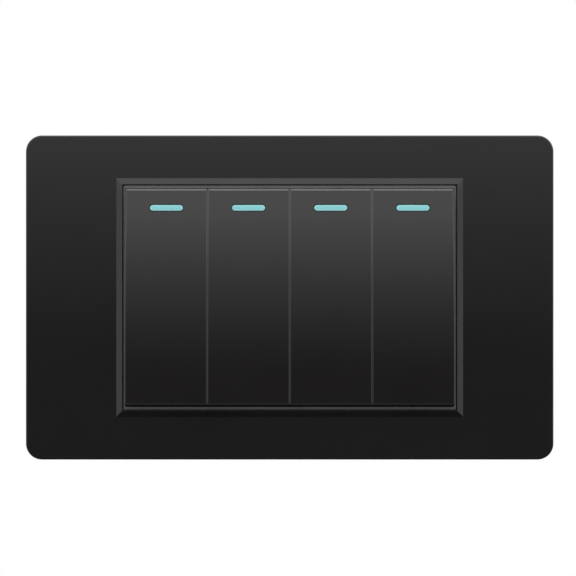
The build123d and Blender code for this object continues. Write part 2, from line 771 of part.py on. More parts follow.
def build_spring(centre_x):
    """Coil spring of square wire, between the end of the bore and the plunger."""
    plane = key_plane(centre_x)
    coil_radius = bore_radius - spring_side_clearance - spring_wire / 2
    coil_start = plunger_top + spring_end_clearance + spring_wire / 2
    coil_height = bore_end - spring_end_clearance - spring_wire / 2 - coil_start
    with BuildPart() as spring:
        with BuildLine(plane) as coil:
            Helix(
                coil_height / spring_turns,
                coil_height,
                coil_radius,
                center=(0, 0, coil_start),
                direction=plane.z_dir,
            )
        radial = (coil.line @ 0) - (plane.origin + plane.z_dir * coil_start)
        with BuildSketch(Plane(origin=coil.line @ 0, x_dir=radial, z_dir=coil.line % 0)):
            Rectangle(spring_wire, spring_wire)
        sweep(path=coil.line, is_frenet=True)
    return spring


def build_plunger(centre_x):
    """Plunger: a turned pin that slides in the barrel, with a round nose on the contact blade."""
    side = side_view(key_plane(centre_x))
    with BuildPart() as plunger:
        with BuildSketch(side):
            with BuildLine():
                Polyline(
                    (0, nose_tip),
                    (0, plunger_top),
                    (plunger_radius, plunger_top),
                    (plunger_radius, nose_base + plunger_shoulder),
                    (nose_radius, nose_base + plunger_shoulder - plunger_radius + nose_radius),
                    (nose_radius, nose_base),
                )
                RadiusArc((nose_radius, nose_base), (0, nose_tip), nose_dome_radius)
            make_face()
        revolve(axis=Axis(side.origin, side.y_dir))
    return plunger


def build_contact_blade(centre_x):
    """Contact blade: a flat rocker with two lugs that lie in the common strip's fork."""
    plane = blade_plane(centre_x)
    with BuildPart() as blade:
        with BuildSketch(plane.offset(-blade_thickness / 2)):
            RectangleRounded(blade_width, 2 * (contact_reach + contact_radius), blade_corner_radius)
        extrude(amount=blade_thickness)
        with BuildSketch(side_view(plane)):
            Circle(lug_radius)
        extrude(amount=fork_outer - lug_end_clearance, both=True)
    return blade


def build_moving_contact(centre_x):
    """Moving contact: a domed silver button under the blade's lower end."""
    side = side_view(blade_plane(centre_x))
    blade_back = -blade_thickness / 2
    with BuildPart() as contact:
        with BuildSketch(side):
            with BuildLine():
                Polyline(
                    (-contact_reach, blade_back - contact_height),
                    (-contact_reach, blade_back),
                    (-contact_reach + contact_radius, blade_back),
                    (-contact_reach + contact_radius, blade_back - contact_edge),
                )
                RadiusArc(
                    (-contact_reach + contact_radius, blade_back - contact_edge),
                    (-contact_reach, blade_back - contact_height),
                    contact_dome_radius,
                )
            make_face()
        revolve(axis=Axis(side.from_local_coords((-contact_reach, 0, 0)), side.y_dir))
    return contact


def build_common_terminal(centre_x):
    """Common strip: from the upper terminal to the fork that the blade rocks in, with a rest pad."""
    strip_end = chamber_length / 2 - strip_end_clearance
    pad_reach = contact_reach * sin(radians(blade_tilt)) + blade_thickness / 2 / cos(radians(blade_tilt))
    pad_front = blade_axis_out - pad_reach - rest_pad_gap
    with BuildPart() as strip:
        with BuildSketch(gang_plane(centre_x, chamber_floor)):
            with Locations((0, (strip_end - common_strip_tail) / 2)):
                Rectangle(2 * fork_outer, strip_end + common_strip_tail)
            with Locations((0, (strip_end + terminal_z - leg_length / 2) / 2)):
                Rectangle(2 * leg_outer, strip_end - terminal_z + leg_length / 2)
            with Locations((0, terminal_z)):
                Circle(terminal_screw_radius + terminal_hole_clearance, mode=Mode.SUBTRACT)
        extrude(amount=strip_thickness)
        for side in (1, -1):
            ear_plane = side_view(gang_plane(centre_x + side * (fork_inner + fork_thickness / 2), 0))
            with BuildSketch(ear_plane):
                ear_front = blade_axis_out + fork_rise
                with Locations((0, (chamber_floor + ear_front) / 2)):
                    Rectangle(fork_length, ear_front - chamber_floor)
                with Locations((0, blade_axis_out)):
                    Circle(lug_radius + lug_clearance, mode=Mode.SUBTRACT)
                with Locations((0, blade_axis_out + fork_rise)):
                    Rectangle(2 * (lug_radius + lug_clearance), 2 * fork_rise, mode=Mode.SUBTRACT)
            extrude(amount=fork_thickness / 2, both=True)
        with BuildSketch(gang_plane(centre_x, chamber_floor)):
            with Locations((0, contact_reach)):
                Rectangle(rest_pad_width, rest_pad_length)
        extrude(amount=pad_front - chamber_floor)
    return strip


def build_load_terminal(centre_x):
    """Load strip: from the lower terminal to the fixed contact."""
    strip_end = chamber_length / 2 - strip_end_clearance
    with BuildPart() as strip:
        with BuildSketch(gang_plane(centre_x, chamber_floor)):
            with Locations((0, -(strip_end + load_strip_start) / 2)):
                Rectangle(2 * fork_outer, strip_end - load_strip_start)
            with Locations((0, -(strip_end + terminal_z - leg_length / 2) / 2)):
                Rectangle(2 * leg_outer, strip_end - terminal_z + leg_length / 2)
            with Locations((0, -terminal_z)):
                Circle(terminal_screw_radius + terminal_hole_clearance, mode=Mode.SUBTRACT)
        extrude(amount=strip_thickness)
    return strip


gang_pieces = {
    "key": build_key,
    "indicator": build_indicator,
    "lever": build_lever,
    "spring": build_spring,
    "plunger": build_plunger,
    "contact_blade": build_contact_blade,
    "moving_contact": build_moving_contact,
    "common_terminal": build_common_terminal,
    "load_terminal": build_load_terminal,
}

for number, centre_x in enumerate(gang_centres, start=1):
    for name, build in gang_pieces.items():
        write(build(centre_x), f"{name}_{number}")
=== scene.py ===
# %% [markdown]
# A four-gang glass switch, dressed for its picture
#
# A wall switch with a black glass panel, a bevelled frame in the middle of it and four tall rocker keys.
# We make the parts that catch the light, the springs and the wall screws anew as finer surfaces, keep
# the other parts as they are, and give every part a finish. Loading first means that later sizes can be
# read from the parts themselves.

import json
from math import cos, pi, radians, sin

import bpy
import numpy as np
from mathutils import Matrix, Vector


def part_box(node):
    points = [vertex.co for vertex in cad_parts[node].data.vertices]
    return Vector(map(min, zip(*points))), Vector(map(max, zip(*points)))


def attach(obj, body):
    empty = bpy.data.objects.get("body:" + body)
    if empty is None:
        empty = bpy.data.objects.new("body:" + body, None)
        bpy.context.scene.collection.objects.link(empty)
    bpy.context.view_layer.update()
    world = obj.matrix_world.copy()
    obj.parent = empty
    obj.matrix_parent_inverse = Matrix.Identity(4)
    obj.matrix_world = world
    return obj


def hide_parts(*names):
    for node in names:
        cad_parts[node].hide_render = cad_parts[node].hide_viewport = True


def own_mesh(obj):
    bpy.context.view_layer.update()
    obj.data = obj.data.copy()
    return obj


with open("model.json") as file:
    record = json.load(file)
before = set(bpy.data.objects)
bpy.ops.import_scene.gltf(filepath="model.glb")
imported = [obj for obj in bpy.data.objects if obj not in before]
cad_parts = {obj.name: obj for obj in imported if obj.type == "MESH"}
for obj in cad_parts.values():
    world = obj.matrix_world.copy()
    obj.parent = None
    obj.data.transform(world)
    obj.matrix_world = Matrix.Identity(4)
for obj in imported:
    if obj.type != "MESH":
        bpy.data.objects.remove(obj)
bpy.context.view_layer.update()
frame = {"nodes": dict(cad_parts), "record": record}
scene = bpy.context.scene
scene.view_settings.view_transform = "Standard"

# %% [markdown]
# The camera
#
# The photo looks at the switch squarely, so all that shows of it is its front. A long lens a step back
# keeps the sides of the panel out of sight. The camera could be aimed by hand, but the panel's width in
# the photo, 528 of 576 pixels, gives the distance outright: a metre at the glass is 4475 pixels long.

# %% Camera
photo_pixels, pixels_per_metre = 576, 4475
aim_x, aim_z = -0.00038, 0.00213  # the spot of the panel in the photo's middle, in metres
glass_low, glass_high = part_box("glass_panel")
camera_data = bpy.data.cameras.new("camera")
camera_data.sensor_width = 36.0
camera_data.lens = 100.0
view_width = photo_pixels / pixels_per_metre
stand_off = view_width * camera_data.lens / camera_data.sensor_width
camera = bpy.data.objects.new("camera", camera_data)
camera.location = (aim_x, glass_low.y - stand_off, aim_z)
camera.rotation_euler = (radians(90), 0, 0)
scene.collection.objects.link(camera)
scene.camera = camera
print("camera stands", round(stand_off, 4), "m in front of the glass")

# %% [markdown]
# What the gloss mirrors
#
# Black glass has almost no colour of its own: what we see on it is the room. In the photo the panel goes
# softly from dark grey above to near black below, so in front of it stands a graded screen, dark at the
# foot and bright above. A pale strip low on it lights the bevels that face down, two tall panels at the
# sides light the bevels that face left and right, and the rest of the room is white. A row of lamps
# could do this, but their edges would show in the glass. A world whose brightness depends on the
# direction alone is smooth, and it lights every side of the switch. Its plain white for the camera is
# the white paper of the photo.

# %% A world by direction
world = bpy.data.worlds.new("studio")
world.use_nodes = True
scene.world = world
sky = world.node_tree
sky.nodes.clear()


def sky_node(kind, **settings):
    """A new node of the world, with its settings."""
    node = sky.nodes.new(kind)
    for name, value in settings.items():
        setattr(node, name, value)
    return node


direction = sky_node("ShaderNodeTexCoord")
parts_of_direction = sky_node("ShaderNodeSeparateXYZ")
sky.links.new(direction.outputs["Generated"], parts_of_direction.inputs[0])
print("a direction has the parts", [socket.name for socket in parts_of_direction.outputs])

# %% Brightness along a curve
brightest = 3.0


def brightness_by(part, places):
    """A smooth curve through places of (part of the direction, brightness).

    A curve node runs from 0 to 1 both ways. So the part, from -1 to 1, goes in as half of it plus a half,
    and what comes out is taken times the brightest level.
    """
    halved = sky_node("ShaderNodeMath", operation="MULTIPLY_ADD")
    halved.inputs[1].default_value = 0.5
    halved.inputs[2].default_value = 0.5
    sky.links.new(part, halved.inputs[0])
    shape = sky_node("ShaderNodeFloatCurve")
    curve = shape.mapping.curves[0]
    for place, brightness in places[1:-1]:
        curve.points.new((place + 1) / 2, brightness / brightest)
    curve.points[0].location = (0, places[0][1] / brightest)
    curve.points[-1].location = (1, places[-1][1] / brightest)
    for point in curve.points:
        point.handle_type = "AUTO_CLAMPED"
    shape.mapping.update()
    sky.links.new(halved.outputs[0], shape.inputs["Value"])
    level = sky_node("ShaderNodeMath", operation="MULTIPLY")
    level.inputs[1].default_value = brightest
    sky.links.new(shape.outputs[0], level.inputs[0])
    return level.outputs[0]


print("brightness runs from 0 to", brightest)

# %% Screen in front
# By height, the sine of the angle above the horizon
screen_heights = [
    (-1.0, 0.04), (-0.75, 0.04), (-0.55, 0.34), (-0.45, 0.34), (-0.25, 0.18), (-0.1, 0.185),
    (-0.05, 0.195), (-0.025, 0.225), (0.0, 0.295), (0.05, 0.46), (0.1, 0.69), (0.17, 1.10),
    (0.225, 1.50), (0.29, 1.83), (0.36, 1.83), (0.5, 0.9), (0.7, 0.7), (1.0, 0.7),
]
screen_level = brightness_by(parts_of_direction.outputs["Z"], screen_heights)
print("screen of", len(screen_heights), "heights")

# %% Side panels
# By how far a direction points left or right, and by its height
panel_places = [
    (-1.0, 0.0), (-0.93, 0.0), (-0.84, 1.0), (-0.72, 1.0), (-0.62, 0.0),
    (0.62, 0.0), (0.72, 1.0), (0.84, 1.0), (0.93, 0.0), (1.0, 0.0),
]
panel_heights = [
    (-1.0, 0.0), (-0.4, 0.3), (-0.07, 0.56), (0.05, 0.74), (0.13, 1.1), (0.25, 1.95), (0.35, 1.6),
    (0.5, 0.0), (1.0, 0.0),
]
panel_level = sky_node("ShaderNodeMath", operation="MULTIPLY")
sky.links.new(brightness_by(parts_of_direction.outputs["X"], panel_places), panel_level.inputs[0])
sky.links.new(brightness_by(parts_of_direction.outputs["Z"], panel_heights), panel_level.inputs[1])
print("side panels of", len(panel_heights), "heights")

# %% Room and screen together
# The white room beside and behind, brightest overhead and dark only towards the ground
room_heights = [(-1.0, 0.07), (-0.55, 0.07), (-0.1, 0.86), (0.5, 0.95), (0.8, 1.45), (1.0, 1.6)]
room_level = brightness_by(parts_of_direction.outputs["Z"], room_heights)

# How far a direction points at the screen: 0 beside it and behind, 1 in front
screen_edge, screen_full = -0.45, -0.85
facing = sky_node("ShaderNodeMapRange", interpolation_type="SMOOTHSTEP")
facing.inputs["From Min"].default_value = screen_edge
facing.inputs["From Max"].default_value = screen_full
sky.links.new(parts_of_direction.outputs["Y"], facing.inputs["Value"])

studio = sky_node("ShaderNodeMix", data_type="FLOAT")
sky.links.new(facing.outputs[0], studio.inputs["Factor"])
sky.links.new(room_level, studio.inputs["A"])
sky.links.new(screen_level, studio.inputs["B"])
panelled = sky_node("ShaderNodeMath", operation="ADD")
sky.links.new(studio.outputs[0], panelled.inputs[0])
sky.links.new(panel_level.outputs[0], panelled.inputs[1])
print("room of", len(room_heights), "heights")

# %% White paper for the camera
ray = sky_node("ShaderNodeLightPath")
sees_paper = sky_node("ShaderNodeMath", operation="MAXIMUM")
sky.links.new(ray.outputs["Is Camera Ray"], sees_paper.inputs[0])
sky.links.new(ray.outputs["Is Transmission Ray"], sees_paper.inputs[1])
strength = sky_node("ShaderNodeMix", data_type="FLOAT")
strength.inputs["B"].default_value = 1.0
sky.links.new(sees_paper.outputs[0], strength.inputs["Factor"])
sky.links.new(panelled.outputs[0], strength.inputs["A"])
background = sky_node("ShaderNodeBackground")
background.inputs["Color"].default_value = (1, 1, 1, 1)
sky.links.new(strength.outputs[0], background.inputs["Strength"])
sky_output = sky_node("ShaderNodeOutputWorld")
sky.links.new(background.outputs[0], sky_output.inputs["Surface"])
print("world:", len(sky.nodes), "nodes")

# %% [markdown]
# One softbox and a floor
#
# The thin bright lines along the upper edges of the keys and of the frame come from a long softbox above
# and in front. An area lamp is the plain choice: a lamp of area A that should look B bright needs pi x A
# x B watts. The floor is a pale sheet under the switch. The gloss doesn't mirror it, as if a dark card
# lay there.

# %% Softbox and floor
softbox_brightness, softbox_distance, softbox_angle = 4.3, 1.3, radians(44)
softbox_data = bpy.data.lights.new("softbox", "AREA")
softbox_data.shape = "RECTANGLE"
softbox_data.size = 1.8
softbox_data.size_y = 0.11
softbox_data.energy = softbox_brightness * pi * softbox_data.size * softbox_data.size_y
softbox = bpy.data.objects.new("softbox", softbox_data)
softbox.location = (0, -softbox_distance * cos(softbox_angle), softbox_distance * sin(softbox_angle))
softbox.rotation_euler = Vector(softbox.location).to_track_quat("Z", "Y").to_euler()
scene.collection.objects.link(softbox)

floor_half, floor_height = 0.6, -0.3
floor_square = np.array([(-1, -1, 0), (1, -1, 0), (1, 1, 0), (-1, 1, 0)])
floor_corners = floor_half * floor_square + (0, 0, floor_height)
floor_mesh = bpy.data.meshes.new("floor")
floor_mesh.from_pydata(floor_corners.tolist(), [], [(0, 1, 2, 3)])
floor = bpy.data.objects.new("floor", floor_mesh)
floor.visible_glossy = False
scene.collection.objects.link(floor)
print("softbox of", round(softbox_data.energy, 2), "W, floor at", floor_height, "m")

# %% [markdown]
# Finishes: effects that several materials share
#
# Real plastic, glass and metal are never one flat colour. Moulded plastic carries the fine grain of its
# mould and a faint cloudiness, whatever is touched carries a film of handling and a little dust, and
# sheet metal carries the lines of the rolls. Each effect could be wired again in every material, but a
# node group is built once and placed with its own values. All of them read Object coordinates, so
# nothing needs unwrapping.

# %% Helpers for effects
def new_effect(name, inputs, outputs):
    """An empty shader node group with number sockets, its two end nodes and the Object coordinates."""
    group = bpy.data.node_groups.new(name, "ShaderNodeTree")
    for socket, value in inputs.items():
        made = group.interface.new_socket(socket, in_out="INPUT", socket_type="NodeSocketFloat")
        made.default_value = value
    for socket in outputs:
        group.interface.new_socket(socket, in_out="OUTPUT", socket_type="NodeSocketFloat")
    ends = group.nodes.new("NodeGroupInput"), group.nodes.new("NodeGroupOutput")
    return group, *ends, group.nodes.new("ShaderNodeTexCoord").outputs["Object"]


def add_noise(tree, where, detail, roughness=0.5, distortion=0.0):
    """A noise texture on the given coordinates; its Scale is in features a metre."""
    noise = tree.nodes.new("ShaderNodeTexNoise")
    noise.inputs["Detail"].default_value = detail
    noise.inputs["Roughness"].default_value = roughness
    noise.inputs["Distortion"].default_value = distortion
    tree.links.new(where, noise.inputs["Vector"])
    return noise


def add_range(tree, value, low, high, to_low=0.0, to_high=1.0, smooth=False):
    """Stretches the part of a value between low and high over another range."""
    node = tree.nodes.new("ShaderNodeMapRange")
    node.interpolation_type = "SMOOTHSTEP" if smooth else "LINEAR"
    for socket, number in zip(("From Min", "From Max", "To Min", "To Max"), (low, high, to_low, to_high)):
        node.inputs[socket].default_value = number
    tree.links.new(value, node.inputs["Value"])
    return node.outputs["Result"]


print("helpers for effects are ready")

# %% Moulded skin
moulded_skin, ends_in, ends_out, where = new_effect(
    "moulded_skin", {"Grain": 5000, "Cloud": 120}, ("Height", "Mottle")
)
grain = add_noise(moulded_skin, where, detail=2.0, roughness=0.6)
cloud = add_noise(moulded_skin, where, detail=3.0, roughness=0.55)
mottle = add_range(moulded_skin, cloud.outputs["Fac"], low=0.3, high=0.7)
moulded_skin.links.new(ends_in.outputs["Grain"], grain.inputs["Scale"])
moulded_skin.links.new(ends_in.outputs["Cloud"], cloud.inputs["Scale"])
moulded_skin.links.new(grain.outputs["Fac"], ends_out.inputs["Height"])
moulded_skin.links.new(mottle, ends_out.inputs["Mottle"])
print("moulded skin:", len(moulded_skin.nodes), "nodes")

# %% Handling
handling, ends_in, ends_out, where = new_effect(
    "handling", {"Smears": 45, "Specks": 900}, ("Film", "Dust")
)
smears = add_noise(handling, where, detail=4.0, roughness=0.6, distortion=0.8)
specks = handling.nodes.new("ShaderNodeTexVoronoi")
film = add_range(handling, smears.outputs["Fac"], low=0.45, high=0.7, smooth=True)
dust = add_range(handling, specks.outputs["Distance"], low=0.09, high=0.04)
handling.links.new(where, specks.inputs["Vector"])
handling.links.new(ends_in.outputs["Smears"], smears.inputs["Scale"])
handling.links.new(ends_in.outputs["Specks"], specks.inputs["Scale"])
handling.links.new(film, ends_out.inputs["Film"])
handling.links.new(dust, ends_out.inputs["Dust"])
print("handling:", len(handling.nodes), "nodes")

# %% Rolled metal
rolled_metal, ends_in, ends_out, where = new_effect(
    "rolled_metal", {"Lines": 9000, "Stains": 160}, ("Streaks", "Stain")
)
rolled_length = 50  # how many times longer than wide a rolling line is
drawn_out = rolled_metal.nodes.new("ShaderNodeMapping")
drawn_out.inputs["Scale"].default_value = (1 / rolled_length, 1.0, 1.0)
rolled_metal.links.new(where, drawn_out.inputs["Vector"])
streaks = add_noise(rolled_metal, drawn_out.outputs["Vector"], detail=2.0)
stains = add_noise(rolled_metal, where, detail=4.0, roughness=0.65)
stain = add_range(rolled_metal, stains.outputs["Fac"], low=0.35, high=0.65)
rolled_metal.links.new(ends_in.outputs["Lines"], streaks.inputs["Scale"])
rolled_metal.links.new(ends_in.outputs["Stains"], stains.inputs["Scale"])
rolled_metal.links.new(streaks.outputs["Fac"], ends_out.inputs["Streaks"])
rolled_metal.links.new(stain, ends_out.inputs["Stain"])
print("rolled metal:", len(rolled_metal.nodes), "nodes")

# %% [markdown]
# Finishes: plastics and metals
#
# A moulded plastic is a pair of near tones mixed by the cloudiness, with the mould's grain as a shallow
# bump. A metal is a pair of tones mixed by its stains, with the rolling lines in its roughness. Two
# small functions place the shared effects with the values of each part, and numbers that are the same
# all over the part, such as the refractive index, go straight on the shader.

# %% Starting a finish
def start_finish(name):
    """A new material, its node tree and its shader."""
    material = bpy.data.materials.new(name)
    material.use_nodes = True
    return material, material.node_tree, material.node_tree.nodes["Principled BSDF"]


def add_effect(tree, group, **values):
    """A shared effect placed in a material with its own values."""
    node = tree.nodes.new("ShaderNodeGroup")
    node.node_tree = group
    for socket, value in values.items():
        node.inputs[socket].default_value = value
    return node


print("shared effects:", [group.name for group in bpy.data.node_groups])

# %% Tones and relief
def add_mix(tree, mask, low, high):
    """A colour between two tones, each a colour or the socket of one, by a mask from 0 to 1."""
    node = tree.nodes.new("ShaderNodeMix")
    node.data_type = "RGBA"
    tree.links.new(mask, node.inputs["Factor"])
    for socket, tone in (("A", low), ("B", high)):
        target = next(s for s in node.inputs if s.name == socket and s.type == "RGBA")
        if hasattr(tone, "links"):
            tree.links.new(tone, target)
        else:
            target.default_value = (*tone, 1.0)
    return next(s for s in node.outputs if s.type == "RGBA")


def add_relief(tree, shader, height, depth):
    """A bump of the given depth in metres."""
    bump = tree.nodes.new("ShaderNodeBump")
    bump.inputs["Distance"].default_value = depth
    tree.links.new(height, bump.inputs["Height"])
    tree.links.new(bump.outputs["Normal"], shader.inputs["Normal"])


print("helpers for tones and relief are ready")

# %% Plastics
plastic_index, plastic_cloud = 1.49, 140.0


def plastic(name, deep, pale, smooth, rough, grain, relief):
    """A moulded plastic: tone and roughness vary with the mottle, and the grain is its relief."""
    material, tree, shader = start_finish(name)
    skin = add_effect(tree, moulded_skin, Grain=grain, Cloud=plastic_cloud)
    tone = add_mix(tree, skin.outputs["Mottle"], deep, pale)
    roughness = add_range(tree, skin.outputs["Mottle"], 0, 1, smooth, rough)
    tree.links.new(tone, shader.inputs["Base Color"])
    tree.links.new(roughness, shader.inputs["Roughness"])
    add_relief(tree, shader, skin.outputs["Height"], relief)
    shader.inputs["IOR"].default_value = plastic_index
    return material


# Deep tone, pale tone, least and most roughness, grains a metre, relief in metres
plastics = {
    "carrier_plastic": ((0.012, 0.012, 0.013), (0.019, 0.019, 0.020), 0.48, 0.60, 3500, 1.2e-5),
    "frame_plastic": ((0.068, 0.068, 0.069), (0.080, 0.080, 0.081), 0.24, 0.34, 6000, 2e-6),
    "housing_plastic": ((0.30, 0.31, 0.32), (0.36, 0.37, 0.38), 0.42, 0.55, 3000, 1.2e-5),
    "lever_plastic": ((0.60, 0.60, 0.57), (0.68, 0.68, 0.65), 0.35, 0.45, 4000, 6e-6),
    "plunger_plastic": ((0.66, 0.66, 0.60), (0.74, 0.74, 0.69), 0.30, 0.42, 4000, 5e-6),
}
finishes = {name: plastic(name, *values) for name, values in plastics.items()}
print("plastics:", list(finishes))

# %% Metals
rolling_relief = 4e-6


def metal(name, deep, pale, smooth, rough, stains):
    """A rolled metal: the stains vary its tone, the rolling lines its roughness and relief."""
    material, tree, shader = start_finish(name)
    rolled = add_effect(tree, rolled_metal, Stains=stains)
    tone = add_mix(tree, rolled.outputs["Stain"], deep, pale)
    lines = rolled.outputs["Streaks"]
    roughness = add_range(tree, lines, low=0.3, high=0.7, to_low=smooth, to_high=rough)
    tree.links.new(tone, shader.inputs["Base Color"])
    tree.links.new(roughness, shader.inputs["Roughness"])
    add_relief(tree, shader, lines, rolling_relief)
    shader.inputs["Metallic"].default_value = 1.0
    return material


# Deep tone, pale tone, least and most roughness, stains a metre
metals = {
    "zinc_steel": ((0.50, 0.52, 0.54), (0.66, 0.68, 0.70), 0.26, 0.44, 420.0),
    "screw_steel": ((0.46, 0.46, 0.47), (0.62, 0.62, 0.62), 0.22, 0.38, 700.0),
    "terminal_steel": ((0.50, 0.46, 0.33), (0.68, 0.63, 0.47), 0.24, 0.40, 600.0),
    "silver_contact": ((0.70, 0.69, 0.66), (0.86, 0.85, 0.83), 0.20, 0.34, 900.0),
    "spring_steel": ((0.40, 0.40, 0.42), (0.56, 0.56, 0.57), 0.20, 0.32, 900.0),
    "blade_brass": ((0.56, 0.37, 0.17), (0.70, 0.50, 0.25), 0.22, 0.38, 500.0),
    "terminal_brass": ((0.62, 0.43, 0.19), (0.76, 0.57, 0.29), 0.20, 0.36, 400.0),
}
finishes.update({name: metal(name, *values) for name, values in metals.items()})
print("metals:", list(metals))

# %% [markdown]
# Finishes: what shows in the picture
#
# The panel is clear glass painted black behind, the keys are glossy black plastic and the frame between
# them is satin. All three are dark and live from their gloss, so their marks are kept faint: a film of
# handling that dulls the gloss here and there, a few specks of dust, and on the keys the slight waviness
# that every moulded face has. The bars in the keys are dyed plastic that lets some light through. The
# glow where light gets in at their rims is painted light: a paler colour painted round the edge of each
# top.

# %% Glass, keys and frame
touch_smears, touch_specks, gloss_cloud = 55.0, 1100.0, 70.0
dust_cover, dust_tone = 0.02, (0.5, 0.5, 0.48)


def glossy(name, deep, pale, smooth, dulled, waves, relief, index):
    """A dark gloss: the film of handling dulls it, dust lies on it, and its waves are a faint relief."""
    material, tree, shader = start_finish(name)
    touched = add_effect(tree, handling, Smears=touch_smears, Specks=touch_specks)
    skin = add_effect(tree, moulded_skin, Grain=waves, Cloud=gloss_cloud)
    clean = add_mix(tree, skin.outputs["Mottle"], deep, pale)
    dusty = tree.nodes.new("ShaderNodeMath")
    dusty.operation = "MULTIPLY"
    dusty.inputs[1].default_value = dust_cover
    tree.links.new(touched.outputs["Dust"], dusty.inputs[0])
    tone = add_mix(tree, dusty.outputs[0], clean, dust_tone)
    roughness = add_range(tree, touched.outputs["Film"], 0, 1, smooth, dulled)
    tree.links.new(tone, shader.inputs["Base Color"])
    tree.links.new(roughness, shader.inputs["Roughness"])
    add_relief(tree, shader, skin.outputs["Height"], relief)
    shader.inputs["IOR"].default_value = index
    return material


# Deep tone, pale tone, roughness where clean and where touched, waves a metre, relief in metres, index
glosses = {
    "black_glass": ((0.0022, 0.0022, 0.0023), (0.0032, 0.0032, 0.0033), 0.02, 0.06, 60, 2e-7, 1.57),
    "key_plastic": ((0.0048, 0.0038, 0.0043), (0.0060, 0.0049, 0.0055), 0.07, 0.12, 350, 4e-7, 1.455),
    "bezel_plastic": ((0.0030, 0.0030, 0.0031), (0.0045, 0.0045, 0.0046), 0.24, 0.30, 6000, 1.5e-6, 1.53),
}
finishes.update({name: glossy(name, *values) for name, values in glosses.items()})
print("glosses:", list(glosses))

# %% Bars and floor
# The third, paler tone is painted light: the glow of light let in at a bar's rim, painted into its
# colour.
dye_deep, dye_pale, painted_rim_glow = (0.165, 0.50, 0.53), (0.19, 0.53, 0.56), (0.29, 0.59, 0.60)
dye_smooth, dye_rough, dye_relief = 0.28, 0.36, 1e-6
teal, tree, shader = start_finish("teal_insert")
# The mark "rim" says where that painted glow lies, from 1 at the edge of a bar's top to 0 at its middle.
painted_glow_mark = tree.nodes.new("ShaderNodeAttribute")
painted_glow_mark.attribute_name = "rim"
skin = add_effect(tree, moulded_skin, Grain=7000.0, Cloud=900.0)
dye = add_mix(tree, skin.outputs["Mottle"], dye_deep, dye_pale)
tree.links.new(add_mix(tree, painted_glow_mark.outputs["Fac"], dye, painted_rim_glow), shader.inputs["Base Color"])
dulling = add_range(tree, skin.outputs["Mottle"], 0, 1, dye_smooth, dye_rough)
tree.links.new(dulling, shader.inputs["Roughness"])
add_relief(tree, shader, skin.outputs["Height"], dye_relief)
finishes["teal_insert"] = teal

sheet_deep, sheet_pale = (0.66, 0.66, 0.65), (0.69, 0.69, 0.68)
sheet_smooth, sheet_rough = 0.75, 0.85
sheet, tree, shader = start_finish("floor_sheet")
skin = add_effect(tree, moulded_skin, Grain=900.0, Cloud=9.0)
tree.links.new(add_mix(tree, skin.outputs["Mottle"], sheet_deep, sheet_pale), shader.inputs["Base Color"])
dulling = add_range(tree, skin.outputs["Mottle"], 0, 1, sheet_smooth, sheet_rough)
tree.links.new(dulling, shader.inputs["Roughness"])
floor_mesh.materials.append(sheet)
print("finishes:", sorted(finishes))

# %% [markdown]
# Shapes from stacked loops
#
# Glass, frame, keys and bars have one thing in common: cut across anywhere, they show rounded
# rectangles. They could be modelled face by face with bevels. A stack of loops is more exact: each loop
# is a rounded rectangle of its own size and depth, and faces join it to the next. A rounded rectangle is
# a smaller rectangle with a circle carried round it, so the same pattern of places serves for all sizes.

# %% Loops
def loop_pattern(side_steps, end_steps, corner_steps):
    """Places round a rounded rectangle, anticlockwise from the lower right as the viewer sees it.

    Each place is a spot on the edge of the smaller rectangle, from -1 to 1 across and along, and a
    direction of length 1 in which the corner radius is set out from that spot.
    """
    side = np.linspace(-1, 1, side_steps, endpoint=False)
    end = np.linspace(1, -1, end_steps, endpoint=False)
    turn = np.linspace(0, pi / 2, corner_steps, endpoint=False)
    corner = np.ones(corner_steps)
    across = np.concatenate([side**0, corner, end, -corner, -side**0, -corner, -end, corner])
    along = np.concatenate([side, corner, end**0, corner, -side, -corner, -end**0, -corner])
    angle = np.concatenate([
        0 * side, turn, 0 * end + pi / 2, turn + pi / 2,
        0 * side + pi, turn + pi, 0 * end + 1.5 * pi, turn + 1.5 * pi,
    ])
    return across, along, np.cos(angle), np.sin(angle)


def stacked_loops(pattern, width, length, radius, centre=0.0):
    """Across and along of every point, a row for each loop.

    A point is its spot x (half the side - radius) + its direction x radius.
    """
    spot_across, spot_along, turn_across, turn_along = pattern
    sizes = np.broadcast_arrays(width, length, radius, centre)
    width, length, radius, centre = (np.reshape(size, (-1, 1)) for size in sizes)
    across = spot_across * (width / 2 - radius) + turn_across * radius
    along = centre + spot_along * (length / 2 - radius) + turn_along * radius
    return across, along


print("a loop of 8, 4 and 6 steps has", len(loop_pattern(8, 4, 6)[0]), "places")

# %% Faces between loops
def loop_faces(rows, columns, closed):
    """Four-sided faces from each loop to the next; closed joins the last loop to the first."""
    row, column = np.meshgrid(np.arange(rows if closed else rows - 1), np.arange(columns), indexing="ij")
    beside = (column + 1) % columns
    here, after = row * columns, (row + 1) % rows * columns
    corners = [here + column, here + beside, after + beside, after + column]
    return np.stack(corners, axis=-1).reshape(-1, 4)


def loop_cap(columns):
    """Faces that close a loop: each place is joined to the one across from it, with a tip at each end."""
    near = np.arange(1, columns // 2 - 1)
    strip = np.column_stack([near, near + 1, columns - near - 1, columns - near])
    tips = np.array([(0, 1, columns - 1), (columns // 2 - 1, columns // 2, columns // 2 + 1)])
    return [strip, tips]


def capped_faces(rows, columns):
    """Faces of an open stack with a cap on its first loop, which is turned round, and one on its last."""
    first = [group[:, ::-1] for group in loop_cap(columns)]
    last = [group + (rows - 1) * columns for group in loop_cap(columns)]
    return [loop_faces(rows, columns, closed=False), *first, *last]


def grid(across, along, out):
    """Three numbers for every place of a stack; a single row or column of it is repeated."""
    return np.stack(np.broadcast_arrays(across, along, out), axis=-1)


drum = capped_faces(rows=2, columns=48)
print("two loops of 48 places and their caps have", sum(len(group) for group in drum), "faces")

# %% [markdown]
# Eased edges and straight bars
#
# No real edge is perfectly sharp, and its easing is what catches the light as a thin line. A bevel
# modifier would ease every edge alike. Here the profile itself is eased, corner by corner, before it is
# carried round. Clips and ribs are simpler: their side view is carried straight across.

